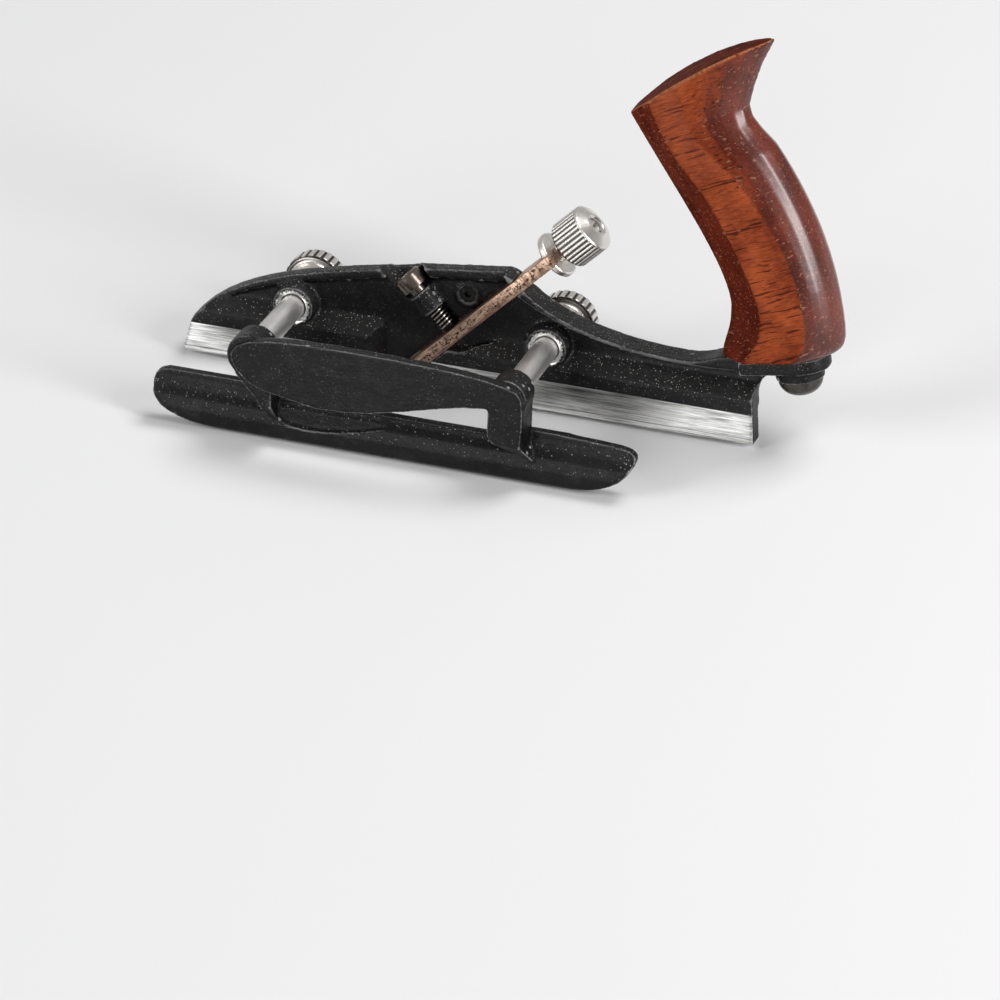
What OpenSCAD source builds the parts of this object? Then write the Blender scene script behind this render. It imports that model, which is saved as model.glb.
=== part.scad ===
// Small plough plane with a sliding fence, an adjustable cutter, a depth stop and a wooden handle.
// Drawn upright: x runs along the sole from toe to heel, y away from the fence, z up from the sole.
// The whole plane is then laid over until it rests on the sole and the fence, as on a bench.

/* [Sole and skate] */
// Length of the sole
sole_l = 76; // [70:1:90]
// Thickness of the skate
skate_t = 3; // [2.6:0.1:3.1]
// Height of the milled skate face
skate_h = 4.2; // [3.6:0.1:4.8]
// Height of the shoulder line above the skate
ridge_z = 6.1; // [5.6:0.1:6.4]

/* [Body] */
// Depth of the web behind the skate face
web_in = 2; // [1.6:0.1:2.2]
// Thickness of the web
web_t = 1.6; // [1.4:0.1:1.9]
// Thickness of the top rail
rail_t = 1.2; // [1:0.1:1.5]
// Thickness of the cheek behind the cutter
cheek_t = 1.2; // [1:0.1:1.4]
// Half width of the handle seat
seat_r = 3.5; // [3:0.1:4]
// Thickness of the handle seat
seat_t = 1.9; // [1.7:0.1:2.1]
// Slope of the handle seat
seat_tilt = 9.9; // [8:0.1:11]

/* [Fence rods] */
// Diameter of the rods
rod_d = 3.2; // [3:0.1:3.4]
// Length of the rods
rod_l = 28; // [27:0.5:30]
// Toe to the front rod
rod_x1 = 14.8; // [14:0.1:16]
// Toe to the rear rod
rod_x2 = 48.5; // [47:0.1:49]
// Height of the rods
rod_z = 8.5; // [8.3:0.1:8.8]
// Diameter of the collet nuts
nut_d = 8; // [7.4:0.1:8.4]

/* [Fence] */
// Gap between the skate and the fence as stored
fence_gap = 11.6; // [9:0.1:12]
// Length of the fence
fence_l = 63.4; // [60:0.2:66]
// Height of the fence face
fence_h = 6.9; // [6.6:0.1:7.2]
// Height of the fence's lower edge below the sole
fence_drop = 3.5; // [3:0.1:4]
// Thickness of the fence face
fence_t = 1.9; // [1.7:0.1:2.2]

/* [Cutter] */
// Bed angle
bed_a = 45; // [43:0.5:47]
// Width of the cutter
cut_w = 3.2; // [3.2:0.1:3.4]
// Thickness of the cutter
cut_t = 1.6; // [1.5:0.1:1.8]
// Toe to the bed at the sole
bed_x = 29.3; // [29:0.1:30]
// Length of the cutter along its bed
cut_l = 27.9; // [27.6:0.1:28.4]
// Height of the cutting edge above the sole as stored
edge_up = 0.3; // [0.2:0.05:0.5]

/* [Handle] */
// Height of the handle above its seat
handle_h = 42; // [40:0.5:44]
// Width of the handle
handle_w = 10; // [9:0.2:11]

/* [Depth stop] */
// Height of the shoe above the sole as stored
stop_z = 1.7; // [1.6:0.1:1.9]

/* [Hidden] */
$fn = 64;
e = 0.01;                                // overshoot of a cut

run = 0.05;                              // radial running clearance
slack = 0.1;                             // side clearance of sliding parts

// heights and depths that several pieces share
web_far = web_in + web_t;
cheek_far = web_far + cheek_t;
slope_z = ridge_z + web_in;              // top of the 45 degree slope above the shoulder
mid_y = web_in;                          // middle of the seat, rail and handle
fence_in = -fence_gap;                   // inner face of the fence
fence_out = fence_in - fence_t;
rod_r = rod_d / 2;
lean = atan(fence_drop / (fence_gap + skate_t));

// cutter frame: s runs up the bed, n stands off it
cut_y = -slack;                          // near side of the cutter
edge_s = (edge_up - cut_t * cos(bed_a)) / sin(bed_a);
bevel_l = cut_t / tan(30);
cut_top = edge_s + cut_l + 1.6;

// clamp screw
clamp_s = 10.5;
clamp_r = 1.1;
clamp_y = cut_y + cut_w / 2;
lug_n = cut_t + 3.2;
lug_l = 2.9;
lug_r = 1.6;
head_n = lug_n + lug_l + 0.8;
head_l = 2;
head_r = 1.9;

// adjuster
disc_r = 3.1;
disc_t = 1;
bite = 1.5;                              // how far the disc enters the cutter
adj_y = cut_y + cut_w - bite + disc_r;
adj_n = cut_t / 2 - 0.3;
adj_r = 1;
disc_s = cut_top - 1.8;                  // underside of the disc
adj_s1 = 18;
boss_s2 = 21;
knob_r = 3.2;
knurl_s = cut_top + 0.7 - disc_s;        // start of the knurl above the disc's underside
knurl_l = 4.3;
knob_end = knurl_s + knurl_l + 0.8;      // face round the hole
adj_s2 = disc_s + knob_end - 0.5;

// depth stop
stop_x = 37.5;
lock_z = 13.4;
lock_r = 1;
stem_w = 3.6;
stem_t = 1.2;
stop_y = cheek_far + slack;
stop_up = 1.3;
stop_down = 1;

// collets and nuts
collet_r = 2.2;
collet_y = web_in + 0.3;                 // inner end of the collet
boss_y = cheek_far;                      // far face of the rod bosses
collet_end = boss_y + 4;
collet_cone = 1;                         // length of the cone that the nut presses on
split_w = 0.4;
nut_y = boss_y + slack;
nut_r = nut_d / 2;
nut_l = 5.6;
hub_r = 3;
rod_near = fence_out - 2.1;              // fence end of the rods

// handle seat frame
seat_x = sole_l + 5;
seat_z = 13.05;
boss_h = 1.4;                            // round boss under the seat
bolt_u = -0.6;                           // bolt of the handle, from the seat's round end
bolt_head_r = 2.85;
bolt_head_h = 2.25;

black = [0.11, 0.11, 0.12];
steel = [0.75, 0.75, 0.74];
dark = [0.33, 0.30, 0.28];
wood = [0.45, 0.17, 0.08];

// an outline in x and z, drawn out from y0 to y1
module side(y0, y1) translate([0, y1, 0]) rotate([90, 0, 0]) linear_extrude(y1 - y0) children();

// a rod along y
module ycyl(x, z, r, y0, y1) translate([x, y1, z]) rotate([90, 0, 0]) cylinder(r = r, h = y1 - y0);

// the cutter frame and the seat frame
module bed() translate([bed_x, 0, 0]) rotate([0, -bed_a, 0]) children();
module seat() translate([seat_x, mid_y, seat_z]) rotate([0, -seat_tilt, 0]) children();

// the plane as it lies on the bench, with the middle of its footprint at the origin
foot_mid = [43.161, 0.193];
module rest() translate([-foot_mid[0], -foot_mid[1], skate_t * sin(lean)]) rotate([-lean, 0, 0]) children();

// points of a smooth curve through four guide points, for round stretches of an outline
function bez(a, b, c, d, n) = [for (i = [1 : n]) let (t = i / n, u = 1 - t)
  u * u * u * a + 3 * u * u * t * b + 3 * u * t * t * c + t * t * t * d];

// top outline of the body, from the toe over the cutter and down to the seat
crest = [[sole_l - 33.6, 17.5], [sole_l - 32.6, 17.3], [sole_l - 31.8, 16.8]];
tail = [sole_l - 10, 10.05];
throat_x = 24.8;                         // front wall of the throat at the skate face
mouth_x = 25.4;                          // front of the mouth in the sole
nose = [1.5, ridge_z - 0.9];
top_front = concat([nose], bez(nose, [7.5, 12.2], [20, 13.6], [30, 15.9], 12));
top_back = concat(crest, bez(crest[2], crest[2] + [4.6, -4.8], tail - [8, -0.1], tail, 12),
  bez(tail, tail + [2, 0], [seat_x - 11.6, seat_z - 11 * tan(seat_tilt) - 0.5],
      [seat_x - 10.1, seat_z - 10.1 * tan(seat_tilt)], 4));

module body_outline() polygon(concat(
  [[0, 0], [1, skate_h]], top_front, top_back,
  [[sole_l + 1, tail[1] + 1], [sole_l + 1, 9.2]],
  bez([sole_l + 1, 9.2], [sole_l, 8.6], [sole_l - 0.5, 7.4], [sole_l - 0.5, ridge_z], 6),
  [[sole_l, 0]]));

module web_outline() intersection() {
  body_outline();
  translate([0, skate_h]) square([sole_l + 2, 20]);
}

module rail_front() polygon(concat(top_front, crest, [[crest[2][0], 16.2], [30.3, 15.9 - rail_t]],
  bez([30.3, 15.9 - rail_t], [20.3, 13.6 - rail_t], [8.5, 12 - rail_t], [3.4, ridge_z], 12)));

module rail_back() polygon(concat(top_back, [[seat_x - 7, seat_z - 7 * tan(seat_tilt)],
  [seat_x - 6.8, seat_z - seat_t - 7 * tan(seat_tilt)]],
  bez([seat_x - 6.8, seat_z - seat_t - 7 * tan(seat_tilt)], tail - [2, rail_t + 0.2],
      crest[2] + [8.2, -6.8], crest[2] + [0.2, -1.8], 10)));

module cheek_outline() intersection() {
  translate([24, skate_h + 2]) square([24, 14]);
  translate([0, -0.6]) body_outline();
}

module body_casting() color(black) difference() {
  union() {
    // skate and shoulder, with the slope above it
    intersection() {
      rotate([90, 0, 90]) linear_extrude(sole_l + 3) polygon([[0, 0], [skate_t, 0], [skate_t, skate_h],
        [web_far, skate_h], [web_far, slope_z], [web_in, slope_z], [0, ridge_z]]);
      side(-1, web_far + 1) body_outline();
    }
    side(web_in, web_far) web_outline();
    side(web_in - 0.5, web_far) rail_front();
    side(0, web_far + 0.2) rail_back();
    side(web_far, cheek_far) cheek_outline();
    // handle seat with a round boss under its end
    seat() {
      translate([-7.5, -seat_r, -seat_t]) cube([7.5, 2 * seat_r, seat_t]);
      translate([0, 0, -seat_t]) cylinder(r = seat_r, h = seat_t);
      translate([bolt_u, 0, -seat_t - boss_h]) cylinder(r = seat_r - 0.4, h = boss_h + e);
    }
    // rod bosses, drafted on the near side
    for (x = [rod_x1, rod_x2]) {
      translate([x, web_far, rod_z]) rotate([90, 0, 0]) cylinder(r1 = 3.4, r2 = 2.65, h = web_far);
      ycyl(x, rod_z, 3, web_far - e, boss_y);
    }
    // lug for the clamp screw
    bed() {
      translate([clamp_s, clamp_y, lug_n]) cylinder(r = lug_r, h = lug_l);
      translate([clamp_s - lug_r + 0.3, clamp_y, lug_n])
        cube([2 * lug_r - 0.6, web_in + 0.2 - clamp_y, lug_l]);
    }
    // boss that holds the adjuster screw
    bed() translate([adj_s1 - 0.4, 0, adj_n]) {
      translate([0, adj_y, 0]) rotate([0, 90, 0]) cylinder(r = 1.8, h = boss_s2 - adj_s1 + 0.4);
      translate([0, web_far, -1.5]) cube([boss_s2 - adj_s1 + 0.4, max(adj_y, cheek_far) - web_far, 3]);
    }
    // rim round the lock screw
    ycyl(stop_x, lock_z, 1.65, web_in - 0.3, web_in + e);
  }
  // throat in front of the cutter, with a slanted front wall, and the mouth through the skate
  side(-1, web_in) polygon([[throat_x + web_in, -1], [throat_x + web_in, slope_z + e],
    [bed_x + slope_z / tan(bed_a), slope_z + e], [bed_x - 1 / tan(bed_a), -1]]);
  translate([throat_x, 0, -1]) linear_extrude(slope_z + 1 + e)
    polygon([[-1, -1], [web_in, web_in], [web_in + 1, web_in], [web_in + 1, -1]]);
  side(-1, skate_t + 1) polygon([[mouth_x, -1], [mouth_x, 1.6], [bed_x + 2 / tan(bed_a), 2],
    [bed_x - 1 / tan(bed_a), -1]]);
  // the slope behind the cutter runs out to a point
  translate([0, 0, ridge_z]) linear_extrude(web_in + e) polygon(concat([[bed_x + 5, web_in], [bed_x + 5, -1],
    [bed_x + 7.9, -1], [bed_x + 7.9, 0]], bez([bed_x + 7.9, 0], [bed_x + 10, 1.2], [bed_x + 12, web_in],
    [bed_x + 15, web_in], 5)));
  // groove that guides the cutter
  bed() translate([-6, -3, -run]) cube([cut_l + 8, cut_y + cut_w + 3 + run, cut_t + 2 * run]);
  // scoop for the head of the clamp screw
  bed() translate([clamp_s, clamp_y, lug_n + lug_l + e]) cylinder(r = head_r + 0.5, h = 6);
  bed() translate([clamp_s, clamp_y, lug_n - e]) cylinder(r = clamp_r + run, h = lug_l + 1);
  // hollow in the web behind the screw's bare thread
  bed() translate([clamp_s, clamp_y, cut_t / 2]) cylinder(r = clamp_r + 0.3, h = lug_n - cut_t / 2);
  // bores for the rods and collets
  for (x = [rod_x1, rod_x2]) {
    ycyl(x, rod_z, rod_r + run, -1, collet_y + e);
    translate([x, -e, rod_z]) rotate([-90, 0, 0]) cylinder(r1 = rod_r + 0.3, r2 = rod_r + run, h = 0.3);
    ycyl(x, rod_z, collet_r, collet_y, boss_y + 1);
  }
  // threaded holes for the lock screw and the adjuster screw, and the bolt hole
  ycyl(stop_x, lock_z, lock_r + run, web_in - 1, cheek_far + 1);
  bed() translate([adj_s1, adj_y, adj_n]) rotate([0, 90, 0]) cylinder(r = adj_r, h = 9);
  seat() translate([bolt_u, 0, -seat_t - boss_h - 1]) cylinder(r = bolt_r + run, h = seat_t + boss_h + 2);
  seat() translate([dowel_u, 0, dowel_z]) cylinder(r = dowel_r, h = dowel_l);
}

// Fence: a long face with curved ends, two arms with rod bosses, and a bowed panel for the hand.
fx0 = 1.1;                               // toe end of the fence
fx1 = fx0 + fence_l;
fz0 = -fence_drop;
fz1 = fz0 + fence_h;
arm_x1 = rod_x1 + 3.2;                   // edges of the opening under the panel
arm_x2 = rod_x2 - 2;
dip_z = fz1 - 1.4;                       // top of the face between the arms
panel_y = fence_out - 3.2;               // outer face of the panel at its ends
panel_t = 1.6;
panel_h = rod_z + 3.7;                   // crest of the panel

module fence_outline() polygon(concat(
  [[fx0 + 2.6, fz1]],
  bez([fx0 + 2.6, fz1], [fx0 + 1, fz1], [fx0 + 0.1, fz1 - 0.4], [fx0, fz1 - 1.7], 5),
  bez([fx0, fz1 - 1.7], [fx0 - 0.1, fz0 + 2.5], [fx0 + 3, fz0 + 0.1], [fx0 + 9.5, fz0], 8),
  [[fx1 - 9.5, fz0]],
  bez([fx1 - 9.5, fz0], [fx1 - 4, fz0 - 0.1], [fx1 - 0.4, fz0 + 2.6], [fx1, fz1 - 1.9], 8),
  bez([fx1, fz1 - 1.9], [fx1 + 0.1, fz1 - 0.9], [fx1 - 0.8, fz1 - 0.5], [fx1 - 3, fz1 - 0.35], 5),
  [[fx1 - 10.5, fz1]]));

// The panel is a leaf between the rods whose rear end turns down into a pointed foot.
leaf_front = [rod_x1 - 2.1, rod_z + 0.3];
leaf_top = [rod_x1 + 15, panel_h];
leaf_back = [rod_x2 + 1.6, rod_z + 1.4];
foot = [[rod_x2 + 3.4, -0.3], [rod_x2 + 1.6, 0.9], [rod_x2 - 0.4, 2], [arm_x2 + 0.6, 2.7], [arm_x2, 3.8]];
module panel_outline() polygon(concat(
  bez([rod_x1 + 3.1, 4.6], [rod_x1 + 1, 4.6], [rod_x1 - 2.2, 6.6], leaf_front, 6),
  bez(leaf_front, [rod_x1 - 1.6, rod_z + 3], [rod_x1 + 5, panel_h], leaf_top, 6),
  bez(leaf_top, [rod_x2 - 8, panel_h], [rod_x2 - 1, rod_z + 2.8], leaf_back, 6),
  bez(leaf_back, [rod_x2 + 2.6, rod_z + 0.6], [rod_x2 + 2.4, rod_z - 2], [rod_x2 + 2.2, 2], 4),
  foot, [[arm_x2, 7.3]],
  bez([arm_x2, 7.3], [arm_x2 - 6.5, 7.3], [arm_x1 + 15, 3.4], [arm_x1 + 6, 3.7], 6)));

// plan of the panel, bowed outward in the middle
bow = 1.3;
half = (rod_x2 - rod_x1 + 8) / 2;
bow_r = (half * half + bow * bow) / (2 * bow);
bow_x = (rod_x1 + rod_x2) / 2;
module panel_plan() intersection() {
  difference() {
    translate([bow_x, panel_y - bow + bow_r]) circle(r = bow_r, $fn = 256);
    translate([bow_x, panel_y - bow + bow_r + panel_t]) circle(r = bow_r, $fn = 256);
  }
  translate([rod_x1 - 6, panel_y - bow - 1]) square([rod_x2 - rod_x1 + 12, 5]);
}

// the arms lean back into the face at their feet
module arm_profile(x) rotate([90, 0, 90]) linear_extrude(x)
  polygon([[fence_in, -1], [fence_in, panel_h + 1], [panel_y - 3, panel_h + 1], [panel_y - 3, 4.6],
    [panel_y - bow, 3.6], [fence_out - 0.5, -0.5], [fence_out, -1]]);

module fence_casting() color(black) difference() {
  union() {
    // face with a cove under its upper edge and a fuller lower part
    intersection() {
      side(fence_out - 1, fence_in) fence_outline();
      rotate([90, 0, 90]) linear_extrude(fence_l + 2) polygon([[fence_in, fz0 - 1], [fence_in, fz1 + 1],
        [fence_out + 0.6, fz1 + 1], [fence_out + 0.6, fz1 - 1], [fence_out + 0.2, fz1 - 2.2],
        [fence_out - 0.6, fz1 - 3], [fence_out - 0.8, fz0 + 2.2], [fence_out - 0.3, fz0 + 0.5],
        [fence_out + 0.1, fz0], [fence_out + 0.1, fz0 - 1]]);
    }
    intersection() {
      side(panel_y - bow - 1, panel_y + 3) panel_outline();
      translate([0, 0, fz0]) linear_extrude(panel_h - fz0 + 1) panel_plan();
      arm_profile(rod_x2 + 4);
    }
    // arms up from the face to the rod bosses
    intersection() {
      side(panel_y + 0.3, fence_in - 0.8)
        polygon([[rod_x1 - 2, rod_z], [rod_x1 - 1.6, 5.9], [rod_x1, 4.2], [rod_x1 + 1.2, 2.9],
          [rod_x1 + 1.9, 1.3], [rod_x1 + 2.4, 0.1], [arm_x1 - 0.2, -0.9], [arm_x1, -0.6],
          [arm_x1, 4.6], [arm_x1 - 0.6, rod_z]]);
      arm_profile(arm_x1 + 2);
    }
    intersection() {
      side(panel_y + 0.3, fence_in - 0.8)
        polygon(concat(foot, [[arm_x2, rod_z], [rod_x2 + 2.4, rod_z], [rod_x2 + 2.4, 2]]));
      arm_profile(rod_x2 + 4);
    }
    ycyl(rod_x1, rod_z, 2.8, panel_y + 0.4, fence_in - 0.8);
    ycyl(rod_x2, rod_z, 2.6, panel_y + 0.4, fence_in - 0.8);
  }
  // the face is lower between the arms
  translate([arm_x1, fence_out - 0.2, dip_z]) cube([arm_x2 - arm_x1, fence_t + 1, fz1]);
  // finger scoop in the face under the opening
  side(fence_out - 1, fence_out) polygon(concat([[arm_x1, dip_z], [arm_x1, 0]],
    bez([arm_x1, 0], [arm_x1 + 0.6, -1.9], [arm_x1 + 9, -1.8], [arm_x1 + 18, dip_z], 8)));
  ycyl(rod_x1, rod_z, rod_r, rod_near, fence_in + 1);
  ycyl(rod_x2, rod_z, rod_r, rod_near, fence_in + 1);
  // threaded holes for the set screws
  for (x = [rod_x1, rod_x2]) set_axis(x) cylinder(r = set_r, h = 4);
}

// axis of a set screw, from a spot in the rod out towards the toe
set_r = 0.8;
spot = 0.3;
module set_axis(x) translate([x - rod_r + spot, fence_in - 2, rod_z]) rotate([0, -90, 0]) children();

module rod(x) difference() {
  ycyl(x, rod_z, rod_r, rod_near, rod_near + rod_l);
  set_axis(x) cylinder(r = set_r, h = 4);
}
module front_rod() color(steel) rod(rod_x1);
module rear_rod() color(steel) rod(rod_x2);

// grub screw with a hexagon socket
module grub(x) set_axis(x) difference() {
  cylinder(r = set_r, h = 1.3);
  translate([0, 0, 0.7]) cylinder(r = 0.4, h = 1, $fn = 6);
}
module front_rod_screw() color(dark) grub(rod_x1);
module rear_rod_screw() color(dark) grub(rod_x2);

// split collet screwed into its boss; the nut's cone closes it on the rod
module collet(x) translate([x, collet_y, rod_z]) rotate([-90, 0, 0]) difference() {
  union() {
    cylinder(r = collet_r, h = collet_end - collet_y - collet_cone);
    translate([0, 0, collet_end - collet_y - collet_cone])
      cylinder(r1 = collet_r, r2 = collet_r - 0.25, h = collet_cone);
  }
  translate([0, 0, -1]) cylinder(r = rod_r + run, h = collet_end);
  for (a = [0, 120, 240]) rotate([0, 0, a]) translate([0, -split_w / 2, boss_y - collet_y + 1])
    cube([2 * collet_r, split_w, collet_end - boss_y]);
}
module front_collet() color(steel) collet(rod_x1);
module rear_collet() color(steel) collet(rod_x2);

// collet nut: hub, dished shoulder and a fluted rim
module collet_nut(x) translate([x, nut_y, rod_z]) rotate([-90, 0, 0]) difference() {
  rotate_extrude() polygon(concat([[0, 0], [hub_r - 0.2, 0], [hub_r, 0.2], [hub_r, nut_l - 3.3]],
    bez([hub_r, nut_l - 3.3], [hub_r, nut_l - 2.8], [hub_r + 0.2, nut_l - 2.6],
      [nut_r - 0.4, nut_l - 2.7], 4),
    [[nut_r, nut_l - 2.4], [nut_r, nut_l - 0.4], [nut_r - 0.5, nut_l], [0, nut_l]]));
  translate([0, 0, -1]) cylinder(r = collet_r + run, h = collet_end - nut_y - collet_cone + 1);
  translate([0, 0, collet_end - nut_y - collet_cone - e])
    cylinder(r1 = collet_r + run, r2 = collet_r - 0.2, h = collet_cone + 2 * e);
  cylinder(r = rod_r + 2 * run, h = nut_l + 1);
  for (i = [0 : 23]) rotate([0, 0, i * 15]) translate([nut_r + 0.12, 0, -1])
    cylinder(r = 0.3, h = nut_l + 2, $fn = 24);
}
module front_nut() color(steel) collet_nut(rod_x1);
module rear_nut() color(steel) collet_nut(rod_x2);

// cutter with a 30 degree bevel and a notch for the adjuster's disc
module cutter() color([0.62, 0.52, 0.46]) bed() difference() {
  translate([0, cut_y + cut_w, 0]) rotate([90, 0, 0]) linear_extrude(cut_w) polygon([[edge_s, cut_t],
    [edge_s + bevel_l, 0], [cut_top, 0], [cut_top, cut_t]]);
  translate([disc_s - run, cut_y + cut_w - bite - slack, -1]) cube([disc_t + 2 * run, bite + 1, cut_t + 2]);
}

module adjuster_screw() color(steel) bed() translate([adj_s1, adj_y, adj_n]) rotate([0, 90, 0]) difference() {
  cylinder(r = adj_r, h = adj_s2 - adj_s1);
  translate([-0.2, -2, adj_s2 - adj_s1 - 0.5]) cube([0.4, 4, 1]);
}

// knob: a disc in the cutter's notch, a neck, a straight knurl and a low cone round the hole
module adjuster_knob() color(steel) bed() translate([disc_s, adj_y, adj_n]) rotate([0, 90, 0]) difference() {
  union() {
    rotate_extrude() polygon([[0, 0], [disc_r - 0.2, 0], [disc_r, 0.2], [disc_r, disc_t - 0.2],
      [disc_r - 0.2, disc_t], [0, disc_t]]);
    cylinder(r = disc_r - bite - 0.15, h = knurl_s + 1);
    translate([0, 0, knurl_s]) difference() {
      rotate_extrude() polygon([[0, 0], [knob_r - 0.3, 0], [knob_r, 0.3], [knob_r, knurl_l],
        [knob_r - 0.2, knurl_l + 0.2], [adj_r + 0.6, knob_end - knurl_s], [0, knob_end - knurl_s]]);
      for (i = [0 : 31]) rotate([0, 0, i * 11.25]) translate([knob_r + 0.1, 0, -1])
        cylinder(r = 0.24, h = knurl_l + 0.9, $fn = 16);
    }
  }
  translate([0, 0, -1]) cylinder(r = adj_r + run, h = knob_end + 2);
  translate([0, 0, knob_end - 0.25]) cylinder(r1 = adj_r + run, r2 = adj_r + run + 0.3, h = 0.3);
}

module clamp_screw() color(dark) bed() translate([clamp_s, clamp_y, cut_t + 0.02]) difference() {
  union() {
    cylinder(r = clamp_r, h = head_n - cut_t + 0.2);
    translate([0, 0, head_n - cut_t]) rotate_extrude() polygon([[0, 0], [head_r, 0], [head_r, head_l - 0.25],
      [head_r - 0.25, head_l], [0, head_l]]);
  }
  translate([0, 0, head_n - cut_t + 0.9]) cylinder(r = 0.9, h = 2, $fn = 6);
}

// Handle: sections run from the front edge to the back, with a flat front, wide chamfers, flat sides
// and a round back. They start level with the seat and end along the top, which rises to the horn.
hk = handle_h / 42;
steps = 24;
front_edge = hk * concat([[-9.8, 0]], bez([-9.8, 0], [-10.1, 1.8], [-8.2, 3.4], [-8, 6.9], 5),
  bez([-8, 6.9], [-7.9, 12], [-12.8, 20.8], [-18, 32.3], 19));
back_edge = hk * concat([[3.8, 0]], bez([3.8, 0], [5.4, 0.1], [5.8, 1.2], [5.85, 3.2], 5),
  bez([5.85, 3.2], [5.8, 12], [3.7, 19.6], [-0.2, 27.1], 13),
  bez([-0.2, 27.1], [-2, 29.4], [-3.3, 30.7], [-3.1, 32.4], 3),
  bez([-3.1, 32.4], [-2.3, 34.8], [-1.3, 37.4], [1.2, 40.9], 3));
flat_w = 1.6;                            // half width of the front flat
crown = 5;                               // how far the top bows up from a straight line
// where the front chamfer ends and the round of the back begins, as parts of a section, up the handle
chamfer_end = [[0, 0.24], [0.12, 0.31], [0.25, 0.33], [0.45, 0.3], [0.7, 0.29], [0.8, 0.25], [1, 0.17]];
round_start = [[0, 0.69], [0.35, 0.73], [0.5, 0.7], [0.6, 0.66], [0.7, 0.62], [0.8, 0.54], [1, 0.36]];
round_form = [[0.3, 0.87], [0.55, 0.69], [0.76, 0.49], [0.92, 0.26]];
function half_section(t) = let (p1 = lookup(t, chamfer_end), p2 = lookup(t, round_start),
  w = handle_w / 2 * (0.9 + 0.1 * sin(90 * min(1, 2 * t)) - 0.18 * max(0, (t - 0.75) / 0.25)))
  concat([[0, flat_w]], [for (k = [1 : 3]) [p1 * k / 3, flat_w + (w - flat_w) * k / 3]],
         [for (k = [1 : 3]) [p1 + (p2 - p1) * k / 3, w]],
         [for (r = round_form) [p2 + (1 - p2) * r[0], w * r[1]]]);
// a point of a section: q from front to back, y to the side, bowed up towards the top of the handle
function on_section(f, b, q, y, t) =
  [f[0] + q * (b[0] - f[0]), y, f[1] + q * (b[1] - f[1]) + crown * t * t * q * (1 - q)];
function section(i) = let (f = front_edge[i], b = back_edge[i], t = i / steps,
  hs = half_section(t), m = len(hs))
  concat([for (q = hs) on_section(f, b, q[0], -q[1], t)], [on_section(f, b, 1, 0, t)],
         [for (j = [m - 1 : -1 : 0]) on_section(f, b, hs[j][0], hs[j][1], t)]);
half_n = len(half_section(0));
ring_n = 2 * half_n + 1;
top_n = steps * ring_n;                  // first point of the top section
module handle_form() polyhedron(
  points = [for (i = [0 : steps]) each section(i)],
  faces = concat([[for (j = [0 : ring_n - 1]) j]],
    [for (j = [0 : half_n - 2]) [top_n + j, top_n + ring_n - 1 - j, top_n + ring_n - 2 - j, top_n + j + 1]],
    [[top_n + half_n - 1, top_n + half_n + 1, top_n + half_n]],
    [for (i = [0 : steps - 1], j = [0 : ring_n - 1]) each
      let (a = i * ring_n + j, b = i * ring_n + (j + 1) % ring_n)
      [[a, a + ring_n, b], [b, a + ring_n, b + ring_n]]]));

bolt_r = 1.25;
insert_r = 2;
insert_z = 0.6;
insert_l = 6;
dowel_u = -5.2;
dowel_r = 0.8;
dowel_z = 0.4 - seat_t;
dowel_l = 3.2;
boss_n = -seat_t - boss_h;               // underside of the boss below the seat

module handle() color(wood) seat() difference() {
  handle_form();
  translate([bolt_u, 0, -1]) cylinder(r = bolt_r + run, h = 3);
  translate([bolt_u, 0, insert_z]) cylinder(r = insert_r, h = insert_l + 0.6);
  translate([dowel_u, 0, dowel_z]) cylinder(r = dowel_r, h = dowel_l);
}
module handle_insert() color([0.72, 0.58, 0.3]) seat() translate([bolt_u, 0, insert_z]) difference() {
  cylinder(r = insert_r, h = insert_l);
  translate([0, 0, -1]) cylinder(r = bolt_r, h = insert_l + 2);
}
module handle_dowel() color(steel) seat() translate([dowel_u, 0, dowel_z]) cylinder(r = dowel_r, h = dowel_l);
module handle_bolt() color(dark) seat() translate([bolt_u, 0, boss_n]) difference() {
  union() {
    translate([0, 0, -e]) cylinder(r = bolt_r, h = insert_z + insert_l - 0.8 - boss_n + e);
    rotate_extrude() polygon(concat([[0, 0], [bolt_head_r, 0]], bez([bolt_head_r, 0],
      [bolt_head_r, -bolt_head_h / 2], [bolt_head_r * 0.7, -bolt_head_h], [0, -bolt_head_h], 8)));
  }
  translate([0, 0, -bolt_head_h - 1]) cylinder(r = 0.9, h = 2.2, $fn = 6);
}

// Depth stop: a shoe beside the skate on a forked stem, held by a washer and a lock screw
slot_r = lock_r + slack;
shoe_half = 8;
shoe_t = 1;
slot_z = lock_z - stop_up;               // middle of the slot's round lower end
fork_top = lock_z + stop_down + slot_r;
module depth_stop() color(steel) {
  side(stop_y, stop_y + stem_t) difference() {
    translate([stop_x - stem_w / 2, stop_z]) square([stem_w, fork_top - stop_z]);
    translate([stop_x - slot_r, slot_z]) square([2 * slot_r, fork_top]);
    translate([stop_x, slot_z]) circle(r = slot_r);
  }
  translate([stop_x, 0, stop_z]) side(skate_t + 0.3, stop_y + stem_t)
    polygon([[0.4 - shoe_half, 0], [shoe_half - 0.4, 0], [shoe_half, 0.4], [shoe_half, shoe_t],
      [-shoe_half, shoe_t], [-shoe_half, 0.4]]);
}
washer_y = stop_y + stem_t + 0.02;
washer_t = 0.4;
lock_head_r = 1.5;
lock_end = washer_y + washer_t;
module stop_washer() color(steel) difference() {
  ycyl(stop_x, lock_z, lock_head_r, washer_y, lock_end);
  ycyl(stop_x, lock_z, lock_r, washer_y - 1, washer_y + 1);
}
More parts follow.
